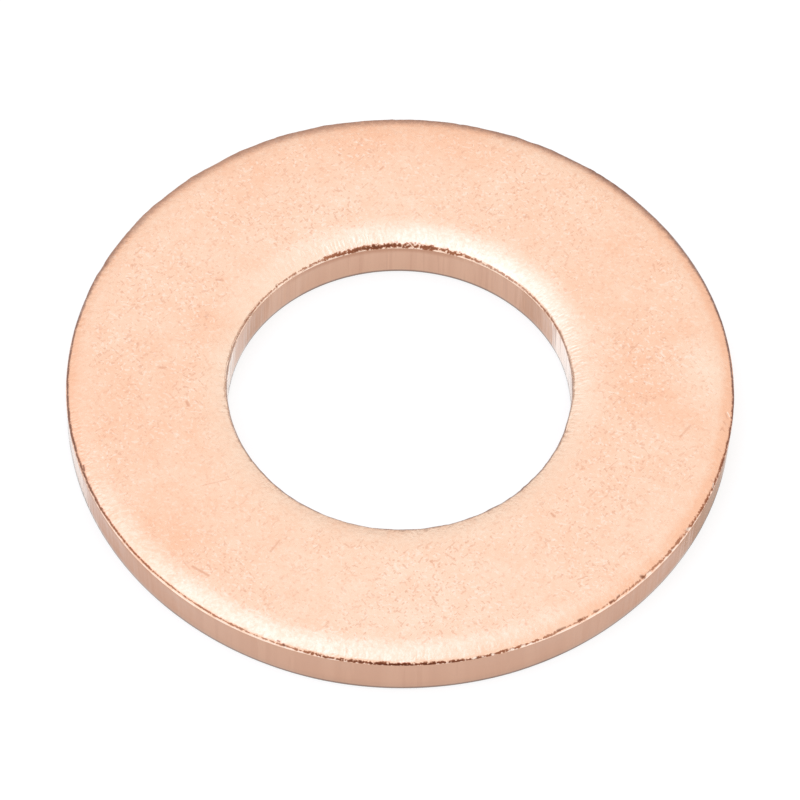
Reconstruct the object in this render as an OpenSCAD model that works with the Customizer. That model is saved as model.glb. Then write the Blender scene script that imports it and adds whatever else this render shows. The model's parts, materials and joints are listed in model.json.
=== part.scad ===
// Flat copper crush washer: one ring blanked from sheet, with rolled rims on the struck
// face and sharp, lightly tumbled rims on the face below.
// The ring lies on its lower face, centred on the Z axis.

/* [Ring] */
// Outside diameter
outer_d = 20; // [18:0.1:26]
// Diameter of the hole, a clearance fit on the bolt
bore_d = 10.35; // [8:0.05:12]
// Thickness of the sheet
thickness = 1.5; // [1.2:0.1:3]

/* [Struck face] */
// How far in from the outer wall the face starts to sink
outer_roll_w = 0.9; // [0.5:0.05:1.2]
// How far in from the hole's wall the face starts to sink
bore_roll_w = 1.05; // [0.5:0.05:1.2]
// Slope of the sinking face where it meets the rounded nose, in degrees
sink_slope = 19; // [8:1:24]
// Radius of the nose between the sinking face and the wall
nose_r = 0.16; // [0.1:0.02:0.4]

/* [Lower face] */
// Radius that tumbling leaves on the two lower rims
break_r = 0.06; // [0.03:0.01:0.2]

/* [Hidden] */
$fn = 180;
outer_r = outer_d / 2;
bore_r = bore_d / 2;
ring_w = outer_r - bore_r;

// Radius of the sinking arc, which leaves the flat face level and runs on into the nose
function sink_r(roll_w) = nose_r + (roll_w - nose_r) / sin(sink_slope);

// Depth below the flat face at which the nose reaches the wall
function roll_depth(roll_w) = sink_r(roll_w) - (sink_r(roll_w) - nose_r) * cos(sink_slope);

// What the stroke of the die takes off a square rim, with the rim's corner at the origin
// and the metal to its left and below
module roll_off(roll_w) {
    depth = roll_depth(roll_w);
    nose_w = nose_r * (1 - sin(sink_slope));
    difference() {
        translate([-roll_w, -depth]) square([roll_w, depth]);
        translate([-roll_w, -sink_r(roll_w)]) circle(r = sink_r(roll_w));
    }
    difference() {
        translate([-nose_w, -depth]) square([nose_w, depth]);
        translate([-nose_r, -depth]) circle(r = nose_r);
    }
}

// What tumbling takes off a lower rim, with the rim's corner at the origin and the metal
// to its left and above
module edge_break() {
    difference() {
        translate([-break_r, 0]) square(break_r);
        translate([-break_r, break_r]) circle(r = break_r);
    }
}

// Half section of the ring, radius along X and height along Y
module section() {
    difference() {
        translate([bore_r, 0]) square([ring_w, thickness]);
        translate([outer_r, thickness]) roll_off(outer_roll_w);
        translate([bore_r, thickness]) mirror([1, 0]) roll_off(bore_roll_w);
        translate([outer_r, 0]) edge_break();
        translate([bore_r, 0]) mirror([1, 0]) edge_break();
    }
}

module washer() {
    color("#E8A583") rotate_extrude() section();
}

washer();
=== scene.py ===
import json
import math

import bpy
import numpy as np
from mathutils import Matrix, Vector, noise


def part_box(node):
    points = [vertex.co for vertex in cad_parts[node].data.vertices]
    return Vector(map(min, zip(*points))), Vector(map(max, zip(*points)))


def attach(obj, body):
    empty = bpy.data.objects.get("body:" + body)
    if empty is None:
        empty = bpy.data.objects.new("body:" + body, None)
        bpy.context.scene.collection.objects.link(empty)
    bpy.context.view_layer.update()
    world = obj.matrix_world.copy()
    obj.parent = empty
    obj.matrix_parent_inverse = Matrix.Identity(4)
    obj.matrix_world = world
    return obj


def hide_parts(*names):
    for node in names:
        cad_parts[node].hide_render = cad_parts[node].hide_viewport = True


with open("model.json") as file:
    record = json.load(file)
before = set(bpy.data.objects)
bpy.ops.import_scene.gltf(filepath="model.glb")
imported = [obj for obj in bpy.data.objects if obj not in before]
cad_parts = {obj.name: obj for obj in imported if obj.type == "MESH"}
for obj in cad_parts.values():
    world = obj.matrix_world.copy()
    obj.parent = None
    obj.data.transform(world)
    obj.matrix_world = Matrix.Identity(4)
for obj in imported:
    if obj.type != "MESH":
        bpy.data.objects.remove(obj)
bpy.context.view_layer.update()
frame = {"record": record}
mm = 0.001


# sizes that the frame gives: the ring lies on z = 0, centred on the Z axis
ringLow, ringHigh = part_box("washer")
outerRadius = (ringHigh.x - ringLow.x) / 2
thickness = ringHigh.z - ringLow.z
boreMount = next(m for m in frame["record"]["mounts"] if m["name"] == "bore")
boreRadius = boreMount["dims"]["r_mm"] * mm
middleRadius = (outerRadius + boreRadius) / 2


# small helpers for node trees
nodeStep = (180, 160)         # how far apart the nodes are laid out


def addNode(tree, kind, place, **settings):
    node = tree.nodes.new(kind)
    node.location = (place[0] * nodeStep[0], place[1] * nodeStep[1])
    for name, value in settings.items():
        setattr(node, name, value)
    return node


def feed(tree, socket, value):
    if isinstance(value, bpy.types.NodeSocket):
        tree.links.new(value, socket)
    elif isinstance(value, tuple) and socket.type == "RGBA":
        socket.default_value = (*value[:3], 1.0)
    elif value is not None:
        socket.default_value = value


def mathNode(tree, place, operation, first, second=None, clamp=False):
    node = addNode(tree, "ShaderNodeMath", place, operation=operation, use_clamp=clamp)
    feed(tree, node.inputs[0], first)
    feed(tree, node.inputs[1], second)
    return node.outputs[0]


def vectorNode(tree, place, operation, first, second=None):
    node = addNode(tree, "ShaderNodeVectorMath", place, operation=operation)
    feed(tree, node.inputs[0], first)
    feed(tree, node.inputs[1], second)
    return node.outputs["Value" if operation in ("LENGTH", "DOT_PRODUCT", "DISTANCE") else "Vector"]


def mapRange(tree, place, value, fromLow, fromHigh, toLow=0.0, toHigh=1.0):
    node = addNode(tree, "ShaderNodeMapRange", place, interpolation_type="SMOOTHSTEP")
    feed(tree, node.inputs["Value"], value)
    for name, number in zip(("From Min", "From Max", "To Min", "To Max"), (fromLow, fromHigh, toLow, toHigh)):
        feed(tree, node.inputs[name], number)
    return node.outputs["Result"]


def mixColour(tree, place, share, first, second):
    node = addNode(tree, "ShaderNodeMix", place, data_type="RGBA")
    for socket, value in zip((node.inputs[0], node.inputs[6], node.inputs[7]), (share, first, second)):
        feed(tree, socket, value)
    return node.outputs[2]


def noiseNode(tree, place, vector, detail=0.0, scale=1.0):
    node = addNode(tree, "ShaderNodeTexNoise", place, noise_dimensions="3D")
    for name, value in (("Vector", vector), ("Scale", scale), ("Detail", detail), ("Roughness", 0.5)):
        feed(tree, node.inputs[name], value)
    return node.outputs["Fac"]


def newGroup(name, inputs, outputs):
    group = bpy.data.node_groups.new(name, "ShaderNodeTree")
    for label, kind, value in inputs:
        socket = group.interface.new_socket(label, in_out="INPUT", socket_type="NodeSocket" + kind)
        if kind == "Float":
            socket.default_value = value
    for label, kind in outputs:
        group.interface.new_socket(label, in_out="OUTPUT", socket_type="NodeSocket" + kind)
    start = addNode(group, "NodeGroupInput", (-10, 0)).outputs
    end = addNode(group, "NodeGroupOutput", (4, 0)).inputs
    return group, start, end


def useGroup(tree, place, group, **values):
    node = addNode(tree, "ShaderNodeGroup", place, node_tree=group)
    for name, value in values.items():
        feed(tree, node.inputs[name], value)
    return node.outputs


def newMaterial(name):
    material = bpy.data.materials.new(name)
    material.use_nodes = True
    return material, material.node_tree, material.node_tree.nodes["Principled BSDF"]


def addBump(tree, shader, distance, height):
    bump = addNode(tree, "ShaderNodeBump", (-3, -1))
    bump.inputs["Strength"].default_value = 1.0
    bump.inputs["Distance"].default_value = distance
    feed(tree, bump.inputs["Height"], height)
    feed(tree, shader.inputs["Normal"], bump.outputs["Normal"])


# camera: nearly flat perspective from in front and above, as in the photo (800 by 800 frame)
cameraLook = {
    "elevation": 54.8,        # degrees above the floor
    "distance": 293.4 * mm,
    "lens": 439.6,            # mm
    "sensor": 36,             # mm across
    "roll": 1.12,             # degrees, counter-clockwise
    "frame": 800,             # pixels across the picture
    "originPixel": (399.2, 410.8),   # where the ring's lower centre falls in the photo
}


def makeCamera(look):
    data = bpy.data.cameras.new("camera")
    data.sensor_width = look["sensor"]
    data.lens = look["lens"]
    data.clip_start = 0.01
    data.clip_end = 10
    camera = bpy.data.objects.new("camera", data)
    bpy.context.scene.collection.objects.link(camera)
    tilt = Matrix.Rotation(math.radians(90 - look["elevation"]), 4, "X")
    turn = tilt @ Matrix.Rotation(math.radians(look["roll"]), 4, "Z")
    right, up, back = (turn.to_3x3().col[i] for i in range(3))
    middle = (look["frame"] - 1) / 2
    perPixel = look["distance"] * data.sensor_width / data.lens / look["frame"]
    offX = (middle - look["originPixel"][0]) * perPixel
    offY = (look["originPixel"][1] - middle) * perPixel
    camera.matrix_world = Matrix.Translation(right * offX + up * offY + back * look["distance"]) @ turn
    bpy.context.scene.camera = camera
    return camera.matrix_world.copy()


eye = makeCamera(cameraLook)
print("camera placed")


# ring: the stamped section turned about the axis, with the small faults that the die left
ringLook = {
    "outerRoll": 0.9 * mm,    # how far in from the outer wall the face starts to sink
    "outerLean": 0.015 * mm,  # how much deeper that roll is in front than on its sides
    "boreRoll": 1.05 * mm,    # the same two at the hole, where the deeper side is the back
    "boreLean": 0.02 * mm,
    "slope": 19,              # degrees, where the sinking face meets the nose
    "noseRadius": 0.16 * mm,
    "breakRadius": 0.06 * mm,  # tumbled lower rims
    "steps": 1330,            # round the ring
    # points along each part of the section, with both its ends
    "sinkPoints": 15,
    "nosePoints": 13,
    "wallPoints": 6,
    "breakPoints": 4,
    "lowerPoints": 4,
    "flatPoints": 5,
    "seed": 7,
    # parts of the rims by tilt in degrees (0 face up, 90 wall): start, full, last full, end
    "rollTilt": (2, 12, 68, 88),
    "noseTilt": (28, 44, 64, 80),
    "lipTilt": (9, 16, 50, 70),
    # where the painted highlight lies on the noses, by tilt
    "highlightTilt": (52, 64, 95),  # start, full, end
    "peel": 0.006 * mm,       # roughened skin over the stretched noses
    "peelGrain": [(0.11 * mm, 0.6), (0.3 * mm, 0.8)],   # its sizes, and the share of each
    "sway": 0.010 * mm,       # wander of the noses
    "outerSway": (2.5, 9, 40),   # how broad its waves are, in steps round the ring
    "boreSway": (4, 14, 60),
    "streak": 0.004 * mm,     # grooves that the die drew down the walls
    "streakWaves": [(1, 0.4), (3, 0.9), (10, 1.6)],   # how broad, in steps, and the share of each
    "streakLength": 20,       # in points of the section
    "streakSink": 2.5,        # keeps the grooves inside the true wall
    "streakFade": 0.1 * mm,   # how soon they set in below the nose
    "chips": 80,              # small dents along the two noses
    "chipDepth": 0.02 * mm,
    "chipSize": (0.04, 0.08),   # mm
    "chipTilt": (25, 50),     # degrees
    # torn skin and painted shade on the noses, for the dark surroundings they mirror: degrees round, mm up
    # from the wall's top, half width in mm, strength, raggedness
    "outerTearShades": [(0, 0.11, 0.065, 0.9, 0.3), (12, 0.105, 0.078, 0.95, 0.25), (24, 0.08, 0.15, 0.92, 0.2),
                   (40, 0.0, 0.36, 0.86, 0.12), (60, 0.0, 0.38, 0.86, 0.1), (80, 0.0, 0.4, 0.76, 0.1),
                   (100, 0.0, 0.46, 0.66, 0.1), (125, 0.0, 0.42, 0.58, 0.1), (145, 0.0, 0.35, 0.66, 0.12),
                   (160, 0.07, 0.16, 0.76, 0.2), (172, 0.11, 0.074, 0.86, 0.25),
                   (180, 0.11, 0.068, 0.87, 0.28), (192, 0.11, 0.062, 0.86, 0.3),
                   (204, 0.115, 0.058, 0.84, 0.35), (216, 0.13, 0.036, 0.74, 0.5),
                   (230, 0.135, 0.028, 0.66, 0.7), (250, 0.115, 0.026, 0.58, 0.9),
                   (259, 0.09, 0.045, 0.86, 0.8), (270, 0.078, 0.066, 1.0, 0.7),
                   (280, 0.07, 0.052, 0.95, 0.6), (290, 0.08, 0.04, 0.75, 0.8),
                   (300, 0.13, 0.03, 0.55, 1.1), (320, 0.145, 0.032, 0.56, 1.2),
                   (335, 0.11, 0.05, 0.72, 0.8), (350, 0.095, 0.06, 0.88, 0.4)],
    "boreTearShades": [(0, 0.078, 0.042, 0.62, 0.15), (24, 0.088, 0.044, 0.66, 0.4), (45, 0.11, 0.035, 0.55, 0.8),
                  (60, 0.12, 0.044, 0.52, 1.0), (72, 0.12, 0.062, 0.74, 1.0), (84, 0.125, 0.08, 0.86, 0.8),
                  (96, 0.13, 0.088, 0.95, 0.6), (108, 0.125, 0.078, 0.87, 0.7), (120, 0.13, 0.046, 0.63, 1.0),
                  (132, 0.12, 0.032, 0.55, 0.9), (145, 0.105, 0.03, 0.6, 0.7), (165, 0.08, 0.036, 0.6, 0.2),
                  (182, 0.078, 0.042, 0.6, 0.12), (202, 0.09, 0.06, 0.74, 0.12), (230, 0.1, 0.085, 0.86, 0.1),
                  (310, 0.1, 0.085, 0.86, 0.1), (340, 0.085, 0.06, 0.78, 0.12)],
    # painted highlight on the lower half of the outer nose, for the bright floor it mirrors: degrees round,
    # share
    "paintedHighlight": [(185, 0.0), (200, 0.6), (215, 1.0), (330, 1.0), (345, 0.3), (352, 0.0)],
    "borePaintedHighlight": 0.6,
    # the outer wall draws in towards its foot: degrees round, mm
    "taper": [(0, 0.06), (90, 0.05), (180, 0.02), (195, 0.035), (230, 0.04), (245, 0.02), (258, 0.0),
              (290, 0.0), (302, 0.02), (315, 0.05), (330, 0.07), (350, 0.075)],
    "taperHeight": 0.8,       # from this share of the thickness down
    # the hole is a touch narrower in front and on the right: degrees round, mm
    "boreInset": [(0, 0.036), (10, 0.026), (22, 0.0), (185, 0.0), (200, 0.018), (225, 0.024), (250, 0.018),
                  (270, 0.008), (300, 0.02), (320, 0.034), (338, 0.046), (350, 0.042)],
    "outerBlush": 0.4,        # pinker (above 0) or creamier (below) on the two rolls
    "rightBlush": 0.4,        # more of it on the right
    "rightTurn": 0.2,         # radians that the pinkest place lies in front of the right
    "boreBlush": -0.45,
    "frontLoss": 0.6,         # share of the hole's tone that is lost in front
    "blushStart": 0.45 * mm,  # how far in from the outer wall the pink sets in
    "blushFade": 0.3 * mm,
}


def arcPoints(centreR, centreZ, radius, startDeg, endDeg, count):
    angles = np.radians(np.linspace(startDeg, endDeg, count))
    return [(centreR + radius * math.cos(a), centreZ + radius * math.sin(a)) for a in angles]


def ringSection(look):
    # goes from the flat face out over the outer rim, under the ring and up through the hole
    nose, edge, slope = look["noseRadius"], look["breakRadius"], look["slope"]

    def rollPoints(roll):
        sink = nose + (roll - nose) / math.sin(math.radians(slope))
        depth = sink - (sink - nose) * math.cos(math.radians(slope))
        sinkArc = arcPoints(-roll, -sink, sink, 90, 90 - slope, look["sinkPoints"])
        noseArc = arcPoints(-nose, -depth, nose, 90 - slope, 0, look["nosePoints"])
        return sinkArc[:-1] + noseArc, depth

    outerTop, outerDepth = rollPoints(look["outerRoll"])
    boreTop, boreDepth = rollPoints(look["boreRoll"])
    breakArc = arcPoints(-edge, edge, edge, 0, -90, look["breakPoints"])
    points = [(outerRadius + r, thickness + z) for r, z in outerTop]
    points += [(outerRadius, z) for z in np.linspace(thickness - outerDepth, edge, look["wallPoints"])[1:-1]]
    points += [(outerRadius + r, z) for r, z in breakArc]
    lowerR = np.linspace(outerRadius - edge, boreRadius + edge, look["lowerPoints"])
    points += [(r, 0.0) for r in lowerR[1:-1]]
    points += [(boreRadius - r, z) for r, z in reversed(breakArc)]
    points += [(boreRadius, z) for z in np.linspace(edge, thickness - boreDepth, look["wallPoints"])[1:-1]]
    points += [(boreRadius - r, thickness + z) for r, z in reversed(boreTop)]
    flatR = np.linspace(boreRadius + look["boreRoll"], outerRadius - look["outerRoll"], look["flatPoints"])
    points += [(r, thickness) for r in flatR[1:-1]]
    return np.array(points)


def surfacePoint(pixel, section):
    # where a pixel of the photo lies on the struck face or its outer roll, in mm
    perPixel = cameraLook["sensor"] / cameraLook["lens"] / cameraLook["frame"]
    middle = (cameraLook["frame"] - 1) / 2
    ray = eye.to_3x3() @ Vector(((pixel[0] - middle) * perPixel, (middle - pixel[1]) * perPixel, -1))
    outerTop = section[:ringLook["sinkPoints"] - 1 + ringLook["nosePoints"]]
    for drop in np.arange(0, 0.5, 0.004) * mm:
        point = eye.translation + ray * ((thickness - drop - eye.translation.z) / ray.z)
        radius = math.hypot(point.x, point.y)
        if radius < outerRadius and np.interp(radius, outerTop[:, 0], outerTop[:, 1]) >= point.z - 1e-7:
            break
    return tuple(x / mm for x in point)


def sectionNormals(points):
    along = np.roll(points, -1, 0) - np.roll(points, 1, 0)
    normals = np.stack([-along[:, 1], along[:, 0]], 1)
    return normals / np.linalg.norm(normals, axis=1)[:, None]


def softNoise(rng, shape, widths):
    # random field blurred by widths (in steps), with no seam, scaled to a spread of 1
    field = np.fft.fft2(rng.standard_normal(shape))
    for axis, width in enumerate(widths):
        waves = np.fft.fftfreq(shape[axis]) * 2 * math.pi
        blur = np.exp(-0.5 * (waves * width) ** 2)
        field *= blur[:, None] if axis == 0 else blur[None, :]
    field = np.fft.ifft2(field).real
    return field / field.std()


def turnNoise(rng, steps, widths):
    # the same, round the ring only, as one column
    return sum(softNoise(rng, (steps, 1), (width, 0)) for width in widths) / math.sqrt(len(widths))


def spotNoise(points, size):
    return np.array([noise.noise(Vector(p) / size) for p in points.reshape(-1, 3)]).reshape(points.shape[:-1])


def ringPoints(turn, radius, height):
    return np.stack([radius * np.cos(turn), radius * np.sin(turn), height + 0 * turn], -1)


def aroundRing(rows, turn):
    # a value that changes round the ring, from rows of degrees and value
    degrees, values = np.array(rows).T
    return np.interp(np.degrees(turn) % 360, degrees, values, period=360)


def ramp(values, start, full):
    # 0 at start and 1 at full
    return np.clip((values - start) / (full - start), 0, 1)


def band(values, start, full, lastFull, end):
    return ramp(values, start, full) * ramp(values, end, lastFull)


def ringFaults(look, section, normals, turn):
    # how far each point is pushed along the section's normal, what the skin is like there, and where painted
    # shade and a painted highlight go
    rng = np.random.default_rng(look["seed"])
    steps = look["steps"]
    tilt = np.degrees(np.arctan2(np.abs(normals[:, 0]), normals[:, 1]))   # 0 face up, 90 wall, 180 below
    outside = section[:, 0] > middleRadius
    onRoll, onNose, onLip = (band(tilt, *look[name]) for name in ("rollTilt", "noseTilt", "lipTilt"))
    upright = np.abs(tilt - 90) < 1
    tops = [np.argmax(np.where(upright & (outside == side), section[:, 1], 0)) for side in (True, False)]
    wallTop = np.where(outside, section[tops[0], 1], section[tops[1], 1])
    onWall = upright * np.clip((wallTop - section[:, 1]) / look["streakFade"], 0, 1)
    place = ringPoints(turn, section[None, :, 0], section[None, :, 1])
    rolls = onRoll > 0
    peel = np.zeros(place.shape[:2])
    peel[:, rolls] = sum(share * spotNoise(place[:, rolls], size) for size, share in look["peelGrain"])
    outerSway, boreSway = (turnNoise(rng, steps, look[name]) for name in ("outerSway", "boreSway"))
    sway = np.where(outside, outerSway, boreSway)
    shape = (steps, len(section))
    streaks = sum(share * softNoise(rng, shape, (width, look["streakLength"]))
                  for width, share in look["streakWaves"])
    push = peel * look["peel"] * onRoll + sway * look["sway"] * onNose
    push = push + (streaks - look["streakSink"]) * look["streak"] * onWall
    # torn skin and painted shade: how far from the middle of its band (1 at either edge), how dark and how
    # ragged
    length = np.concatenate([[0], np.cumsum(np.linalg.norm(np.diff(section, axis=0), axis=1))])
    up = np.where(outside, length[tops[0]] - length, length - length[tops[1]])
    up[tilt < 1] = 9 * mm     # the flat face is out of reach
    bands = []
    for name in ("outerTearShades", "boreTearShades"):
        rows = np.array(look[name])
        bands.append([aroundRing(rows[:, [0, k]], turn) for k in range(1, 5)])
    middle, half, strength, ragged = (np.where(outside, ours, theirs) for ours, theirs in zip(*bands))
    tearShade = (up[None, :] / mm - middle) / half
    # chips: small round dents at random along the noses, three in five of them on the outer one
    noses = (tilt > 20) & (tilt < 75)
    for k in range(look["chips"]):
        outer, where, aim = k % 5 < 3, rng.uniform(0, 2 * math.pi), rng.uniform(*look["chipTilt"])
        size, depth = rng.uniform(*look["chipSize"]) * mm, rng.uniform(0.3, 1.0) * look["chipDepth"]
        away = np.abs(np.angle(np.exp(1j * (turn - where)))) * (outerRadius if outer else boreRadius)
        rim = np.where((outside == outer) & noses)[0]
        across = length - length[rim[np.argmin(np.abs(tilt[rim] - aim))]]
        push = push - depth * np.exp(-(away ** 2 + across[None, :] ** 2) / size ** 2)
    # tone: the outer rim is pinker, most of all on the right, and the hole's roll creamier,
    # both less so in front
    outerPart = np.clip((section[:, 0] - outerRadius + look["blushStart"]) / look["blushFade"], 0, 1)
    borePart = np.clip((boreRadius + look["boreRoll"] - section[:, 0]) / look["boreRoll"], 0, 1)
    front = np.clip(-np.sin(turn), 0, 1)
    right = np.clip(np.cos(turn + look["rightTurn"]), 0, 1)
    pinker = look["outerBlush"] * (1 - front) + look["rightBlush"] * right ** 2
    blush = pinker * outerPart + look["boreBlush"] * borePart * (1 - look["frontLoss"] * front ** 6)
    # painted highlight on the lower noses, by tilt and round the ring
    highlightStart, highlightFull, highlightEnd = look["highlightTilt"]
    highlight = np.where(outside, aroundRing(look["paintedHighlight"], turn), look["borePaintedHighlight"])
    highlight = highlight * ramp(tilt, highlightStart, highlightFull) * (tilt < highlightEnd)
    skinAndLight = {"tearShade": tearShade, "tearShadeStrength": strength, "ragged": ragged, "roll": onRoll, "lip": onLip,
            "blush": blush, "highlight": highlight}
    return push, {name: values + 0 * turn for name, values in skinAndLight.items()}


def makeRing(look):
    section = ringSection(look)
    normals = sectionNormals(section)
    count, steps = len(section), look["steps"]
    turn = np.linspace(0, 2 * math.pi, steps, endpoint=False)[:, None]
    push, skinAndLight = ringFaults(look, section, normals, turn)
    radius = np.minimum(section[None, :, 0] + push * normals[None, :, 0], outerRadius)
    height = section[None, :, 1] + push * normals[None, :, 1]
    low = np.clip(1 - section[:, 1] / (look["taperHeight"] * thickness), 0, 1)
    low = low * (section[:, 0] > middleRadius)
    radius = radius - aroundRing(look["taper"], turn) * mm * low
    # the ring was struck a little off true, so the rolls lean: the outer one is deeper in front,
    # the hole's at the back
    inBore = np.clip((boreRadius + look["boreRoll"] - section[:, 0]) / look["boreRoll"], 0, 1) ** 2
    inOuter = np.clip((section[:, 0] - outerRadius + look["outerRoll"]) / look["outerRoll"], 0, 1) ** 2
    radius = radius - aroundRing(look["boreInset"], turn) * mm * inBore
    lean = (look["boreLean"] * inBore - look["outerLean"] * inOuter) * np.sin(turn)
    height = np.clip(height - lean * (section[:, 1] > thickness / 2), 0, thickness)
    points = ringPoints(turn, radius, height).reshape(-1, 3)
    i, j = np.meshgrid(np.arange(steps), np.arange(count), indexing="ij")
    nextI, nextJ = (i + 1) % steps, (j + 1) % count
    quads = np.stack([i * count + j, i * count + nextJ, nextI * count + nextJ, nextI * count + j], -1)
    quads = quads.reshape(-1, 4)
    mesh = bpy.data.meshes.new("copper_ring")
    mesh.from_pydata(points.tolist(), [], quads.tolist())
    mesh.shade_smooth()
    for name, values in skinAndLight.items():
        layer = mesh.attributes.new(name, "FLOAT", "POINT")
        layer.data.foreach_set("value", values.astype(np.float32).ravel())
    # walls and tumbled lower rims get the second material
    across = np.abs(np.roll(section, -1, 0) - section)
    upper = np.maximum(section[:, 1], np.roll(section[:, 1], -1))
    wall = (across[:, 1] > 6 * across[:, 0]) | ((upper > 1e-6) & (upper < 1.1 * look["breakRadius"]))
    mesh.polygons.foreach_set("material_index", np.tile(wall, steps).astype(np.int32))
    mesh.update()
    ring = bpy.data.objects.new("copper_ring", mesh)
    bpy.context.scene.collection.objects.link(ring)
    print("ring mesh:", len(points), "points,", 2 * len(quads), "triangles")
    return ring


# shared effects
def ringPlaceGroup():
    # place in mm, and a point that runs round the ring but is the same all along a spoke
    outputs = [("Place", "Vector"), ("Spoke", "Vector"), ("Radius", "Float"), ("Height", "Float")]
    group, _, end = newGroup("ring place", [], outputs)
    coords = addNode(group, "ShaderNodeTexCoord", (-8, 0)).outputs["Object"]
    place = vectorNode(group, (-7, 0), "MULTIPLY", coords, (1000, 1000, 1000))
    flat = vectorNode(group, (-6, -1), "MULTIPLY", place, (1, 1, 0))
    spoke = vectorNode(group, (-5, -1), "NORMALIZE", flat)
    spoke = vectorNode(group, (-4, -1), "MULTIPLY", spoke, (10, 10, 0))
    parts = addNode(group, "ShaderNodeSeparateXYZ", (-5, 1))
    group.links.new(place, parts.inputs[0])
    group.links.new(place, end["Place"])
    group.links.new(spoke, end["Spoke"])
    group.links.new(vectorNode(group, (-4, -2), "LENGTH", flat), end["Radius"])
    group.links.new(parts.outputs["Z"], end["Height"])
    return group


def grainGroup():
    # soft grain of a given size in mm
    inputs = [("Place", "Vector", None), ("Size", "Float", 0.1), ("Detail", "Float", 1.0)]
    group, start, end = newGroup("grain", inputs, [("Grain", "Float")])
    scale = mathNode(group, (-6, -1), "DIVIDE", 1.0, start["Size"])
    spots = noiseNode(group, (-4, 0), start["Place"], detail=start["Detail"], scale=scale)
    group.links.new(mapRange(group, (-2, 0), spots, 0.25, 0.75), end["Grain"])
    return group


def strokesGroup():
    # short straight marks that all run one way
    inputs = [("Place", "Vector", None), ("Turn", "Float", 0.0), ("Length", "Float", 0.5),
              ("Width", "Float", 0.04), ("Start", "Float", 0.62)]
    group, start, end = newGroup("strokes", inputs, [("Mark", "Float")])
    turned = addNode(group, "ShaderNodeVectorRotate", (-8, 0), rotation_type="Z_AXIS")
    group.links.new(start["Place"], turned.inputs["Vector"])
    group.links.new(start["Turn"], turned.inputs["Angle"])
    sizes = addNode(group, "ShaderNodeCombineXYZ", (-8, -2))
    group.links.new(start["Length"], sizes.inputs["X"])
    group.links.new(start["Width"], sizes.inputs["Y"])
    sizes.inputs["Z"].default_value = 1.0
    squeezed = vectorNode(group, (-6, 0), "DIVIDE", turned.outputs["Vector"], sizes.outputs["Vector"])
    spots = noiseNode(group, (-4, 0), squeezed)
    full = mathNode(group, (-4, -2), "ADD", start["Start"], 0.1)
    group.links.new(mapRange(group, (-2, 0), spots, start["Start"], full), end["Mark"])
    return group


def scratchGroup():
    # one straight mark between two points of the face, in mm
    inputs = [("Place", "Vector", None), ("From", "Vector", None), ("To", "Vector", None),
              ("Width", "Float", 0.05)]
    group, start, end = newGroup("scratch", inputs, [("Mark", "Float")])
    along = vectorNode(group, (-8, 1), "SUBTRACT", start["To"], start["From"])
    out = vectorNode(group, (-8, -1), "SUBTRACT", start["Place"], start["From"])
    ratio = mathNode(group, (-6, 0), "DIVIDE", vectorNode(group, (-7, 0), "DOT_PRODUCT", out, along),
                     vectorNode(group, (-7, 2), "DOT_PRODUCT", along, along), clamp=True)
    scaled = addNode(group, "ShaderNodeVectorMath", (-5, 1), operation="SCALE")
    feed(group, scaled.inputs[0], along)
    feed(group, scaled.inputs["Scale"], ratio)
    away = vectorNode(group, (-4, 0), "DISTANCE", out, scaled.outputs["Vector"])
    group.links.new(mapRange(group, (-2, 0), away, 0.0, start["Width"], 1.0, 0.0), end["Mark"])
    return group


def patchGroup():
    # soft round patch, sizes in mm
    inputs = [("Place", "Vector", None), ("Centre", "Vector", None), ("Size", "Float", 3.0)]
    group, start, end = newGroup("patch", inputs, [("Mask", "Float")])
    away = vectorNode(group, (-6, 0), "DISTANCE", start["Place"], start["Centre"])
    group.links.new(mapRange(group, (-3, 0), away, 0.0, start["Size"], 1.0, 0.0), end["Mask"])
    return group


ringPlace, grain, strokes = ringPlaceGroup(), grainGroup(), strokesGroup()
scratch, patch = scratchGroup(), patchGroup()


def addGrains(tree, column, place, rows):
    # one grain for each row of size in mm and detail
    return [useGroup(tree, (column, k), grain, Place=place, Size=size, Detail=detail)["Grain"]
            for k, (size, detail) in enumerate(rows)]
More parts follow.
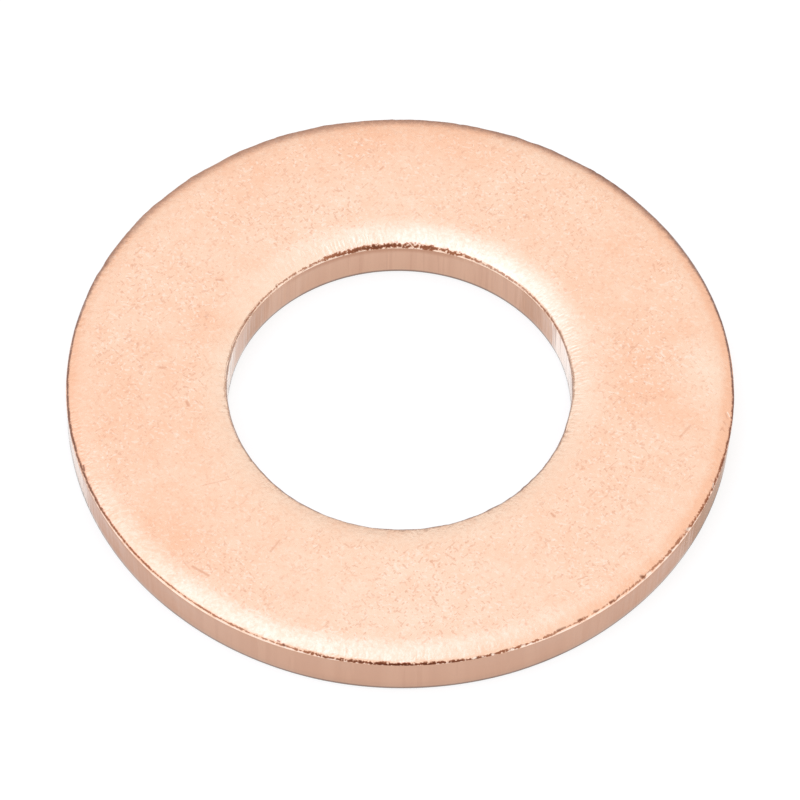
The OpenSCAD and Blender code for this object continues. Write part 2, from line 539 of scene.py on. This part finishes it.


# struck and lower faces: tumbled copper with clouds, fine marks and scratches, painted shade along the noses
# and a painted highlight below it
# ranges are written as from low, from high, to low, to high, the last two 0 and 1 if left out
faceLook = {
    "cream": (0.975, 0.735, 0.575),
    "pink": (0.945, 0.555, 0.375),
    "light": (0.985, 0.80, 0.67),
    "dark": (0.78, 0.43, 0.29),
    "tornShade": (0.165, 0.042, 0.017),      # torn skin along the noses, which has lost its metal shine, and painted shade for the dark surroundings they mirror
    "tornShadeCore": (0.055, 0.014, 0.007),  # the deepest parts of a ragged tear, painted darkest
    "tornShadeEdge": (0.40, 0.155, 0.08),    # and its redder edge
    "tarnishShade": (0.16, 0.075, 0.06),     # greyer painted shade, where the noses are dull but not ragged
    "tornShadeShine": 0.07,
    # painted highlight on the lower noses, for the bright floor they mirror
    "paintedHighlight": (0.98, 0.77, 0.645),
    "roughness": (0.24, 0.31),
    # grain sizes in mm and detail: clouds, worn drifts, fine grain, specks, wander
    "grains": [(0.8, 2.0), (2.2, 2.0), (0.12, 1.0), (0.075, 1.0), (0.25, 1.0)],
    "feather": (0.14, 1.0),             # grain drawn out along the spokes
    "featherPull": 0.3,                 # how fast it changes along a spoke, against across
    "baseTone": 0.27,                   # from cream (0) to pink (1), before clouds, grain and blush
    "cloudTone": 0.25,
    "fineTone": 0.24,
    "bump": 0.0012 * mm,
    "rollBump": 2.0,                    # how much rougher the rolled rims are
    "lipBump": 4.0,                     # and the lips next to the noses
    "speckBump": 0.6,                   # share of the specks there
    "lipDrift": (0.3, 0.7, 0.35, 1.1),  # range by which the worn drifts change it
    # broad tone: place (mm), size (mm), amount (pinker above 0, creamier below)
    "patches": [((7.9, 0.4), 3.2, 0.38), ((9.1, 0.6), 1.9, -0.6), ((5.8, 0.0), 1.7, -0.1),
                ((-8.4, -1.4), 4.5, 0.22), ((0.0, 11.0), 3.6, 0.35), ((-1.6, 9.0), 2.4, 0.35),
                ((1.8, 9.2), 2.2, 0.3), ((-4.6, 7.8), 2.8, 0.22), ((0.6, -8.0), 6.0, -0.22),
                ((-1.5, 6.6), 4.5, -0.15), ((-6.8, -5.6), 2.2, 0.35), ((-5.6, 2.0), 1.4, 0.3),
                ((7.0, 4.6), 3.0, 0.15)],
    # short marks: turn (radians), length, width (mm), threshold, light or dark
    "marks": [(0.2, 0.13, 0.07, 0.66, "light"), (1.5, 0.11, 0.08, 0.67, "light"),
              (0.9, 0.12, 0.07, 0.68, "dark"), (2.3, 0.15, 0.07, 0.68, "dark"),
              (0.0, 0.10, 0.10, 0.71, "dark")],
    "markStrength": (0.54, 0.2),        # on the flat face, on the rolled rims
    "markDrift": (0.1, 0.9, 0.5, 1.0),  # range by which the worn drifts change it
    # ragged edge of the torn skin and painted shade: shares of specks and wander, and their mean
    "raggedGrain": (1.1, 1.0, 1.05),
    "tornShadeRange": (0.27, 1.28, 1.0, 0.0),   # by distance from the band's middle
    "coreRange": (-0.5, 0.25, 0.8, 0.0),
    "glintRange": (0.72, 0.95),         # specks that stay bright
    "highlightRange": (0.15, 0.6, 0.4, 1.0),  # wander that weakens the painted highlight
    "redRange": (0.15, 0.5),            # raggedness from which a tear is red
    "edgeShare": 0.7,                   # how strong a red tear is where its dark middle starts
    "edgeGain": 1.43,                   # how soon its edge is full
    # scratches seen in the photo: pixels from, to, width in mm, strength, tone
    "scratches": [((192, 566), (208, 575), 0.07, 0.9, "dark"), ((270, 551), (279, 540), 0.06, 0.7, "dark"),
                  ((186, 401), (188, 405), 0.08, 1.0, "dark"), ((680, 436), (690, 425), 0.06, 0.6, "dark"),
                  ((202, 485), (231, 478), 0.035, 0.5, "dark"), ((216, 279), (222, 280), 0.07, 0.8, "dark"),
                  ((445, 553), (455, 560), 0.05, 0.5, "dark"), ((159, 367), (165, 367), 0.07, 0.8, "dark"),
                  ((551, 513), (554, 516), 0.07, 1.0, "dark"), ((432, 597), (436, 603), 0.05, 0.7, "dark"),
                  ((380, 169), (383, 166), 0.05, 0.8, "dark"), ((339, 154), (339, 155), 0.06, 0.9, "dark"),
                  ((244, 590), (245, 591), 0.06, 0.8, "dark"), ((652, 384), (644, 381), 0.05, 0.6, "light"),
                  ((633, 456), (638, 457), 0.05, 0.9, "light"), ((722, 427), (720, 430), 0.04, 0.8, "dark")],
    # nicks on the outer roll and nose, in the same way
    "nicks": [((684, 530), (688, 532), 0.09, 0.8, "dark"), ((687, 529), (690, 528), 0.07, 1.0, "light"),
              ((680, 536), (682, 534), 0.06, 0.8, "dark"), ((672, 550), (674, 549), 0.06, 0.9, "light"),
              ((665, 558), (670, 555), 0.07, 0.9, "light"), ((641, 576), (644, 577), 0.09, 0.75, "tornShade"),
              ((647, 574), (650, 572), 0.07, 0.9, "light"), ((617, 597), (619, 595), 0.06, 0.7, "tornShade"),
              ((610, 602), (613, 600), 0.06, 0.7, "tornShade"), ((594, 611), (598, 610), 0.07, 0.6, "tornShade"),
              ((578, 620), (581, 619), 0.07, 0.7, "tornShade"), ((557, 630), (565, 627), 0.06, 0.7, "tornShade"),
              ((522, 646), (524, 645), 0.07, 1.0, "light"), ((530, 643), (531, 643), 0.06, 1.0, "light"),
              ((511, 649), (513, 649), 0.06, 1.0, "light"), ((492, 654), (493, 654), 0.06, 1.0, "light"),
              ((473, 658), (475, 657), 0.06, 1.0, "light"), ((378, 663), (384, 664), 0.06, 0.9, "tornShade"),
              ((283, 644), (284, 646), 0.07, 0.9, "tornShade"), ((284, 647), (285, 647), 0.06, 1.0, "light"),
              ((277, 640), (279, 641), 0.05, 0.8, "tornShade"), ((83, 465), (84, 470), 0.05, 0.8, "tornShade"),
              ((725, 413), (727, 418), 0.05, 0.8, "dark"), ((727, 412), (729, 416), 0.04, 0.9, "light"),
              ((723, 421), (725, 424), 0.05, 0.8, "dark"), ((722, 428), (724, 431), 0.05, 0.8, "dark"),
              ((718, 449), (720, 451), 0.05, 0.8, "dark"), ((711, 480), (713, 482), 0.06, 0.9, "dark"),
              ((712, 487), (713, 483), 0.04, 0.9, "light")],
}


def copperFaceMaterial(look):
    material, tree, shader = newMaterial("tumbled copper face")
    here = useGroup(tree, (-16, 0), ringPlace)
    place = here["Place"]
    tearShade, tearShadeStrength, ragged, roll, lip, blush, highlight = (
        addNode(tree, "ShaderNodeAttribute", (-8, 7 + k), attribute_name=name).outputs["Fac"]
        for k, name in enumerate(("tearShade", "tearShadeStrength", "ragged", "roll", "lip", "blush", "highlight")))
    cloud, worn, fine, speck, wander = addGrains(tree, -14, place, look["grains"])
    along = addNode(tree, "ShaderNodeCombineXYZ", (-15, -2))
    feed(tree, along.inputs["Z"], mathNode(tree, (-16, -2), "MULTIPLY", here["Radius"], look["featherPull"]))
    drawn = vectorNode(tree, (-14, -2), "ADD", here["Spoke"], along.outputs["Vector"])
    feather = addGrains(tree, -13, drawn, [look["feather"]])[0]
    tone = mathNode(tree, (-12, 3), "MULTIPLY", cloud, look["cloudTone"])
    tone = mathNode(tree, (-11, 3), "ADD", tone, mathNode(tree, (-12, 2), "MULTIPLY", fine, look["fineTone"]))
    tone = mathNode(tree, (-10, 3), "ADD", tone, mathNode(tree, (-11, 4), "ADD", blush, look["baseTone"]))
    for k, (centre, size, amount) in enumerate(look["patches"]):
        centre = (*centre, thickness / mm)
        mask = useGroup(tree, (-13, 6 + k), patch, Place=place, Centre=centre, Size=size)["Mask"]
        mask = mathNode(tree, (-11, 6 + k), "MULTIPLY", mask, amount)
        tone = mathNode(tree, (-10 + k, 5), "ADD", tone, mask)
    colour = mixColour(tree, (-4, 4), tone, look["cream"], look["pink"])
    # marks come in drifts and are fewer on the rims
    strength = mapRange(tree, (-9, 0), roll, 0.0, 1.0, *look["markStrength"])
    drift = mapRange(tree, (-9, 1), worn, *look["markDrift"])
    strength = mathNode(tree, (-8, 1), "MULTIPLY", drift, strength)
    for k, (turn, length, width, start, kind) in enumerate(look["marks"]):
        mark = useGroup(tree, (-9, -1 - k), strokes, Place=place, Turn=turn, Length=length, Width=width,
                        Start=start)["Mark"]
        mark = mathNode(tree, (-8, -1 - k), "MULTIPLY", mark, strength)
        colour = mixColour(tree, (-2 + k, 4), mark, colour, look[kind])
    # torn skin and painted shade along the noses have a ragged edge and bright specks left in them
    speckShare, wanderShare, mean = look["raggedGrain"]
    rough = mathNode(tree, (-7, 6), "ADD", mathNode(tree, (-8, 6), "MULTIPLY", speck, speckShare),
                     mathNode(tree, (-8, 5), "MULTIPLY", wander, wanderShare))
    rough = mathNode(tree, (-5, 7), "MULTIPLY", mathNode(tree, (-6, 6), "SUBTRACT", rough, mean), ragged)
    edge = mathNode(tree, (-4, 8), "ADD", mathNode(tree, (-6, 8), "ABSOLUTE", tearShade), rough)
    tornShade = mathNode(tree, (-2, 8), "MULTIPLY", mapRange(tree, (-3, 8), edge, *look["tornShadeRange"]), tearShadeStrength)
    glint = mapRange(tree, (-6, 9), speck, *look["glintRange"])
    glint = mathNode(tree, (-5, 9), "MULTIPLY", glint, ragged, clamp=True)
    tornShade = mathNode(tree, (-1, 8), "MULTIPLY", tornShade, mathNode(tree, (-4, 9), "SUBTRACT", 1.0, glint))
    # painted highlight on the lower noses, patchy with the wander
    highlight = mathNode(tree, (1, 3), "MULTIPLY", highlight, mapRange(tree, (0, 3), wander, *look["highlightRange"]))
    colour = mixColour(tree, (2, 4), highlight, colour, look["paintedHighlight"])
    # a ragged tear is red along its edge and darkest in its core; where not ragged, the painted shade is
    # greyer
    redder = mapRange(tree, (-4, 6), ragged, *look["redRange"])
    shallow = mathNode(tree, (0, 6), "MULTIPLY", tornShade, look["edgeGain"], clamp=True)
    shallow = mathNode(tree, (1, 6), "MULTIPLY", shallow, redder)
    colour = mixColour(tree, (3, 4), shallow, colour, look["tornShadeEdge"])
    onset = mathNode(tree, (0, 5), "MULTIPLY", redder, look["edgeShare"])
    deep = mathNode(tree, (2, 5), "DIVIDE", mathNode(tree, (1, 5), "SUBTRACT", tornShade, onset),
                    mathNode(tree, (1, 4), "SUBTRACT", 1.0, onset), clamp=True)
    dark = mixColour(tree, (3, 5), redder, look["tarnishShade"], look["tornShade"])
    core = mathNode(tree, (3, 6), "MULTIPLY", mapRange(tree, (2, 6), edge, *look["coreRange"]), redder)
    dark = mixColour(tree, (4, 5), core, dark, look["tornShadeCore"])
    colour = mixColour(tree, (4, 4), deep, colour, dark)
    section = ringSection(ringLook)
    for k, (fromPixel, toPixel, width, strength, kind) in enumerate(look["scratches"] + look["nicks"]):
        mark = useGroup(tree, (-9, -8 - k), scratch, Place=place, From=surfacePoint(fromPixel, section),
                        To=surfacePoint(toPixel, section), Width=width)["Mark"]
        mark = mathNode(tree, (-8, -8 - k), "MULTIPLY", mark, strength)
        colour = mixColour(tree, (5 + k, 4), mark, colour, look[kind])
        if kind == "light":
            clear = mathNode(tree, (-7, -8 - k), "SUBTRACT", 1.0, mark)
            tornShade = mathNode(tree, (5 + k, 8), "MULTIPLY", tornShade, clear)
    feed(tree, shader.inputs["Base Color"], colour)
    # the torn skin and painted shade are not metallic, so they stay dark at grazing
    feed(tree, shader.inputs["Metallic"], mathNode(tree, (0, 8), "SUBTRACT", 1.0, tornShade))
    shader.inputs["Specular IOR Level"].default_value = look["tornShadeShine"]
    feed(tree, shader.inputs["Roughness"], mapRange(tree, (-4, 1), fine, 0.0, 1.0, *look["roughness"]))
    height = mapRange(tree, (-6, -2), roll, 0.0, 1.0, 1.0, look["rollBump"])
    height = mathNode(tree, (-5, -1), "MULTIPLY", fine, height)
    lumps = mathNode(tree, (-7, -4), "MULTIPLY", speck, look["speckBump"])
    lumps = mathNode(tree, (-6, -4), "ADD", feather, lumps)
    onLip = mathNode(tree, (-6, -5), "MULTIPLY", lip, look["lipBump"])
    lumps = mathNode(tree, (-5, -4), "MULTIPLY", lumps, onLip)
    lumps = mathNode(tree, (-4, -4), "MULTIPLY", lumps, mapRange(tree, (-5, -5), worn, *look["lipDrift"]))
    addBump(tree, shader, look["bump"], mathNode(tree, (-4, -1), "ADD", height, lumps))
    return material


# walls: sheared copper, drawn out in upright streaks, with painted reflection and painted shade round the
# ring and along the foot
wallLook = {
    # base tones, darker than the face's copper partly as painted shade for the dimmer floor that the walls
    # mirror
    "light": (0.645, 0.40, 0.285),
    "dark": (0.588, 0.349, 0.245),
    "brightReflection": (0.97, 0.80, 0.70),    # painted reflection on the two sides of the hole, for the bright floor they mirror
    "dull": (0.65, 0.48, 0.40),      # streaks that break it
    "dimShade": (0.535, 0.30, 0.195),     # and painted shade next to them
    "fairReflection": (0.78, 0.57, 0.46),      # painted reflection at the left end of the outer wall
    "duskShade": (0.475, 0.19, 0.075),    # and painted shade on the darker sides of that wall
    "endShade": (0.55, 0.28, 0.15),     # painted shade, darker and less metallic, near the right end of the outer wall
    "brow": (0.42, 0.20, 0.12),      # shade below the torn lip at the back of the hole
    "footShade": (0.20, 0.14, 0.115),     # painted shade: dark line along the foot
    # grain sizes in mm and detail: broad bands, fine grain, streaks
    "grains": [(0.7, 2.0), (0.11, 1.0), (0.2, 2.0)],
    "streakPull": 0.06,              # how fast they change up the wall, against round it
    "wallSplit": (6.0, 9.0),         # mm, any radius between the hole's wall and the outer one
    "bandShade": 0.6,                # from light (0) to dark (1)
    "outerShade": 0.5,               # painted shade: the outer wall is a little darker
    "streakShade": (0.6, 0.9, 0.0, 0.5),
    "dullRange": (0.5, 0.8),
    # degrees round the ring: middle, half width, fade, painted tone
    "outerLitZones": [(195, 3, 42, "duskShade"), (345, 3, 47, "duskShade"), (188, 11, 7, "fairReflection")],
    "boreLitZones": [(147, 6, 6, "dimShade"), (41, 5, 5, "dimShade"), (174, 9, 5, "brightReflection"), (17, 12, 5, "brightReflection")],
    "endShaded": (339, 6, 11),         # the same for the painted shade at the right end
    "browed": (100, 22, 20),         # and the brow
    "fray": 0.1,                     # radians by which the grain frays the ends of a zone
    "drift": 0.7,                    # mm that the left zones shift towards the front, for each mm of depth
    # ranges by height in mm: the brow, the foot's painted dark line, and a slight painted shade above it on
    # the outer wall
    "browRange": (0.95, 1.15, 0.0, 0.55),
    "footShadeRange": (0.07, 0.15, 0.9, 0.0),
    "shadeRange": (0.1, 0.4, 0.1, 0.0),
    "endShadeMetal": 0.4,               # how metallic that painted shade still is
    "roughness": (0.08, 0.18),
    "bump": 0.0016 * mm,
}


def copperWallMaterial(look):
    material, tree, shader = newMaterial("sheared copper wall")
    here = useGroup(tree, (-14, 0), ringPlace)
    lift = addNode(tree, "ShaderNodeCombineXYZ", (-12, -2))
    feed(tree, lift.inputs["Z"], mathNode(tree, (-13, -2), "MULTIPLY", here["Height"], look["streakPull"]))
    drawn = vectorNode(tree, (-11, 0), "ADD", here["Spoke"], lift.outputs["Vector"])
    broad, fine, streak = addGrains(tree, -9, drawn, look["grains"])
    outer = mapRange(tree, (-9, 4), here["Radius"], *look["wallSplit"])
    bore = mathNode(tree, (-8, 12), "SUBTRACT", 1.0, outer)
    shade = mathNode(tree, (-8, 2), "ADD", mathNode(tree, (-9, 1), "MULTIPLY", broad, look["bandShade"]),
                     mathNode(tree, (-8, 4), "MULTIPLY", outer, look["outerShade"]))
    shade = mathNode(tree, (-7, 2), "ADD", shade, mapRange(tree, (-8, 1), streak, *look["streakShade"]))
    colour = mixColour(tree, (-6, 2), shade, look["light"], look["dark"])
    dull = mapRange(tree, (-7, 3), streak, *look["dullRange"])
    litTones = {**look, "brightReflection": mixColour(tree, (-6, 3), dull, look["brightReflection"], look["dull"])}
    slide = addNode(tree, "ShaderNodeCombineXYZ", (-12, 4))
    feed(tree, slide.inputs["Y"], mathNode(tree, (-13, 4), "MULTIPLY", here["Height"], -look["drift"]))
    slid = vectorNode(tree, (-11, 4), "ADD", here["Spoke"], slide.outputs["Vector"])
    slid = vectorNode(tree, (-11, 3), "ADD", slid, (0, look["drift"], 0))
    slid = vectorNode(tree, (-10, 3), "NORMALIZE", slid)
    level = vectorNode(tree, (-10, 4), "NORMALIZE", here["Spoke"])
    frayed = mathNode(tree, (-9, 10), "MULTIPLY", fine, look["fray"])

    def zone(k, middle, half, fade):
        aim = (math.cos(math.radians(middle)), math.sin(math.radians(middle)), 0)
        along = vectorNode(tree, (-10, 5 + k), "DOT_PRODUCT", slid if aim[0] < 0 else level, aim)
        away = mathNode(tree, (-9, 5 + k), "ARCCOSINE", along)
        away = mathNode(tree, (-8, 5 + k), "ADD", away, frayed)
        return mapRange(tree, (-7, 5 + k), away, math.radians(half), math.radians(half + fade), 1.0, 0.0)

    # zones of painted reflection and painted shade round the walls
    rows = [(*row, outer) for row in look["outerLitZones"]] + [(*row, bore) for row in look["boreLitZones"]]
    for k, (middle, half, fade, litTone, side) in enumerate(rows):
        share = mathNode(tree, (-6, 5 + k), "MULTIPLY", zone(k, middle, half, fade), side)
        colour = mixColour(tree, (-5 + k, 5), share, colour, litTones[litTone])
    # painted shade near the right end of the outer wall
    endShade = mathNode(tree, (-6, 12), "MULTIPLY", zone(7, *look["endShaded"]), outer)
    colour = mixColour(tree, (-2, 5), endShade, colour, look["endShade"])
    brow = mapRange(tree, (-8, 11), here["Height"], *look["browRange"])
    brow = mathNode(tree, (-6, 11), "MULTIPLY", brow, bore)
    brow = mathNode(tree, (-5, 11), "MULTIPLY", brow, zone(8, *look["browed"]))
    colour = mixColour(tree, (-1, 5), brow, colour, look["brow"])
    # painted shade along the foot and a little above it on the outer wall
    low = mapRange(tree, (-6, 4), here["Height"], *look["shadeRange"])
    low = mathNode(tree, (-5, 5), "MULTIPLY", low, outer)
    footShade = mapRange(tree, (-6, 3), here["Height"], *look["footShadeRange"])
    colour = mixColour(tree, (-3, 2), mathNode(tree, (-5, 4), "MAXIMUM", low, footShade), colour, look["footShade"])
    feed(tree, shader.inputs["Base Color"], colour)
    feed(tree, shader.inputs["Metallic"], mapRange(tree, (-3, 9), endShade, 0.0, 1.0, 1.0, look["endShadeMetal"]))
    shader.inputs["Specular IOR Level"].default_value = 0.0
    feed(tree, shader.inputs["Roughness"], mapRange(tree, (-4, 0), fine, 0.0, 1.0, *look["roughness"]))
    addBump(tree, shader, look["bump"], fine)
    return material


ring = makeRing(ringLook)
ring.data.materials.append(copperFaceMaterial(faceLook))
ring.data.materials.append(copperWallMaterial(wallLook))
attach(ring, "root")
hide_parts("washer")
print("ring dressed")


# floor: plain and pale, a little lit from within where it is seen, so that it reads as white
floorLook = {
    "half": 0.5,              # metres each way
    "drop": 0.003 * mm,       # how far it lies below the ring, so that the two never share a plane
    "colour": (0.30, 0.30, 0.30),
    "lift": 0.76,             # share of white added where the floor is seen or mirrored
}


def makeFloor(look):
    half, low = look["half"], -look["drop"]
    mesh = bpy.data.meshes.new("floor")
    corners = [(-half, -half, low), (half, -half, low), (half, half, low), (-half, half, low)]
    mesh.from_pydata(corners, [], [(0, 1, 2, 3)])
    floor = bpy.data.objects.new("floor", mesh)
    bpy.context.scene.collection.objects.link(floor)
    material, tree, shader = newMaterial("pale floor")
    feed(tree, shader.inputs["Base Color"], look["colour"])
    shader.inputs["Roughness"].default_value = 1.0
    shader.inputs["Specular IOR Level"].default_value = 0.0
    rays = addNode(tree, "ShaderNodeLightPath", (-6, 0)).outputs
    seen = mathNode(tree, (-4, 1), "MAXIMUM", rays["Is Camera Ray"], rays["Is Glossy Ray"])
    seen = mathNode(tree, (-3, 1), "MAXIMUM", seen, rays["Is Transmission Ray"])
    feed(tree, shader.inputs["Emission Color"], (1.0, 1.0, 1.0))
    feed(tree, shader.inputs["Emission Strength"], mathNode(tree, (-2, 1), "MULTIPLY", seen, look["lift"]))
    # from below, the floor lets the ring show through
    behind = addNode(tree, "ShaderNodeNewGeometry", (-4, -1)).outputs["Backfacing"]
    feed(tree, shader.inputs["Alpha"], mathNode(tree, (-2, -1), "SUBTRACT", 1.0, behind))
    mesh.materials.append(material)


makeFloor(floorLook)
print("floor laid")


# light: a soft tent, dim near the floor at the back, with a soft lamp panel overhead and a little to the left
tentLook = {
    # (degrees above the floor, level, colour)
    "levels": [
        (0, 0.45, (1.0, 0.90, 0.85)),
        (13, 0.66, (1.0, 0.93, 0.89)),
        (21, 0.84, (1.0, 0.95, 0.92)),
        (28, 0.98, (1.0, 0.98, 0.97)),
        (35, 1.03, (1.0, 1.0, 1.0)),
        (55, 1.05, (1.0, 1.0, 1.0)),
    ],
    "front": 1.2,             # level in front, right down to the floor
    # where the front's level and the lamp's panel start and end, as parts of a direction
    "frontY": (-0.25, 0.1),   # full, out
    "frontZ": (0.4, 0.6),
    "lampX": (-0.85, -0.55, -0.22, 0.33),   # start, full, last full, end
    "lampY": (-0.5, -0.1, 0.12, 0.56),
    "lampLevel": 1.6,
    "lampColour": (0.95, 1.0, 1.20),
}


def makeTent(look):
    world = bpy.data.worlds.new("tent")
    bpy.context.scene.world = world
    world.use_nodes = True
    tree = world.node_tree
    background = tree.nodes["Background"]
    coords = addNode(tree, "ShaderNodeTexCoord", (-8, 0)).outputs["Generated"]
    parts = addNode(tree, "ShaderNodeSeparateXYZ", (-7, 0))
    tree.links.new(coords, parts.inputs[0])
    # colours are written as parts of the brightest one, because a ramp stops at 1
    top = max(look["lampColour"]) * look["lampLevel"]
    sky = addNode(tree, "ShaderNodeValToRGB", (-6, 1))
    stops = sky.color_ramp.elements
    while len(stops) < len(look["levels"]):
        stops.new(0.5)
    for stop, (rise, level, colour) in zip(stops, look["levels"]):
        stop.position = math.sin(math.radians(rise))
        stop.color = (*(c * level / top for c in colour), 1.0)
    tree.links.new(parts.outputs["Z"], sky.inputs["Fac"])
    white = (look["front"] / top,) * 3
    ahead = mathNode(tree, (-5, 2), "MULTIPLY",
                     mapRange(tree, (-6, 2), parts.outputs["Y"], *look["frontY"], 1.0, 0.0),
                     mapRange(tree, (-6, 3), parts.outputs["Z"], *look["frontZ"], 1.0, 0.0))
    colour = mixColour(tree, (-4, 1), ahead, sky.outputs["Color"], white)
    glow = 1.0
    for k, name in enumerate(("lampX", "lampY")):
        start, full, lastFull, end = look[name]
        glow = mathNode(tree, (-4 + k, -1), "MULTIPLY", glow,
                        mapRange(tree, (-6, -1 - 2 * k), parts.outputs[k], start, full))
        glow = mathNode(tree, (-4 + k, -2), "MULTIPLY", glow,
                        mapRange(tree, (-6, -2 - 2 * k), parts.outputs[k], lastFull, end, 1.0, 0.0))
    lamp = tuple(c * look["lampLevel"] / top for c in look["lampColour"])
    feed(tree, background.inputs["Color"], mixColour(tree, (-2, 0), glow, colour, lamp))
    background.inputs["Strength"].default_value = top


makeTent(tentLook)
bpy.context.scene.view_settings.view_transform = "Standard"
print("tent lit")
